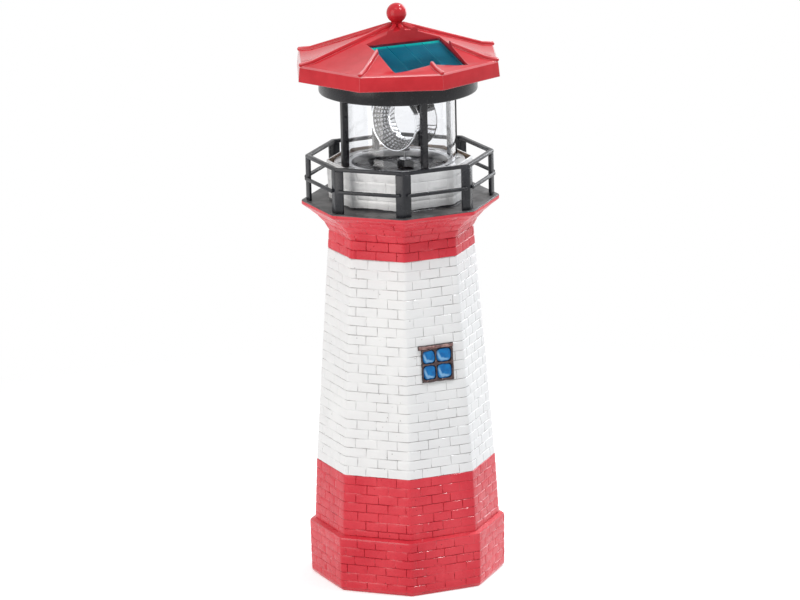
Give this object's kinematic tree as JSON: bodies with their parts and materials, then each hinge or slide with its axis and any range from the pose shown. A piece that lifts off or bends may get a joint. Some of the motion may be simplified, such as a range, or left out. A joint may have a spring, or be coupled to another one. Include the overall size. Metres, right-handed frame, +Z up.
{
  "type": "garden lighthouse ornament",
  "caption": "Octagonal brick-pattern lighthouse with a gallery railing, clear lantern room, turning two-sided reflector and a red solar roof; the lantern lifts out.",
  "frame": {"origin": "centre of the octagonal foot, on the resting plane", "axes": "+Z up the tower; -Y the side with the window and the solar panel; +X to the right seen from that side"},
  "size_m": [0.1322, 0.1322, 0.3601],
  "materials": {
    "painted_resin": "satin hand paint over cast resin",
    "window_brown": "matt paint",
    "window_rose": "matt paint",
    "window_blue": "gloss",
    "black_plastic": "satin moulded",
    "silver_plastic": "silver paint",
    "red_plastic": "gloss moulded",
    "clear_plastic": "clear",
    "solar_cover_clear": "clear gloss",
    "solar_wafer": "dark blue",
    "circuit_green": "satin",
    "circuit_parts": "satin",
    "chrome_plating": "mirror",
    "steel": "bright",
    "brass_sleeve": "bright",
    "white_nylon": "satin",
    "lens_clear": "gloss",
    "foam": "matt foam tape",
    "lead_sleeve": "matt sleeve",
    "battery_sleeve": "printed film, bare"
  },
  "bodies": {
    "tower": {"tower_shell": "painted_resin", "window_frame": "window_brown", "window_panes": "window_blue", "window_lintel": "window_rose", "gallery_posts": "black_plastic", "gallery_handrail": "black_plastic", "gallery_mid_rail": "black_plastic"},
    "lantern": {"lantern_base": "silver_plastic", "lamp_glass": "clear_plastic", "lantern_frame": "black_plastic", "frame_screws": "steel", "supply_leads": "lead_sleeve", "lamp_tray": "black_plastic", "roof_screws": "steel", "roof_shell": "red_plastic", "finial": "red_plastic", "panel_seal": "foam", "solar_backing": "circuit_green", "solar_cells": "solar_wafer", "solar_cover": "solar_cover_clear", "led": "lens_clear", "led_post": "white_nylon", "led_board": "circuit_green", "idler_pin": "steel", "gear_plate": "black_plastic", "plate_screws": "steel", "drive_motor": "steel", "drive_housing": "black_plastic", "shaft_bush": "brass_sleeve", "housing_cover": "black_plastic", "cover_screws": "steel", "battery_holder": "black_plastic", "battery": "battery_sleeve", "battery_contacts": "steel", "power_switch": "circuit_parts", "control_board": "circuit_green", "board_parts": "circuit_parts"},
    "reflector": {"reflector_front": "chrome_plating", "reflector_rear": "chrome_plating", "reflector_hub": "chrome_plating", "reflector_shaft": "steel", "shaft_collar": "steel", "output_gear": "white_nylon"},
    "idler": {"idler_gear": "white_nylon"},
    "motor_rotor": {"motor_pinion": "brass_sleeve", "motor_shaft": "steel"},
    "switch_slider": {"switch_knob": "black_plastic"},
    "battery_lid": {"battery_door": "black_plastic"}
  },
  "joints": [
    {"name": "lantern_lift", "type": "slide", "parent": "tower", "child": "lantern", "axis": [0, 0, 1], "range_m": [0, 0.06]},
    {"name": "reflector_spin", "type": "hinge", "parent": "lantern", "child": "reflector", "pos_m": [0.0038, 0, 0.2872], "axis": [0, 0, 1], "continuous": true},
    {"name": "idler_spin", "type": "hinge", "parent": "lantern", "child": "idler", "pos_m": [-0.00536, 0.00529, 0.251], "axis": [0, 0, 1], "continuous": true},
    {"name": "motor_spin", "type": "hinge", "parent": "lantern", "child": "motor_rotor", "pos_m": [0.00144, 0.0134, 0.251], "axis": [0, 0, 1], "continuous": true},
    {"name": "switch_slide", "type": "slide", "parent": "lantern", "child": "switch_slider", "axis": [1, 0, 0], "range_m": [0, 0.003]},
    {"name": "battery_door_off", "type": "slide", "parent": "lantern", "child": "battery_lid", "axis": [0, 0, -1], "range_m": [0, 0.02]}
  ],
  "couplings": [
    {"joint": "idler_spin", "follows": "reflector_spin", "ratio": -5},
    {"joint": "motor_spin", "follows": "reflector_spin", "ratio": 25}
  ]
}
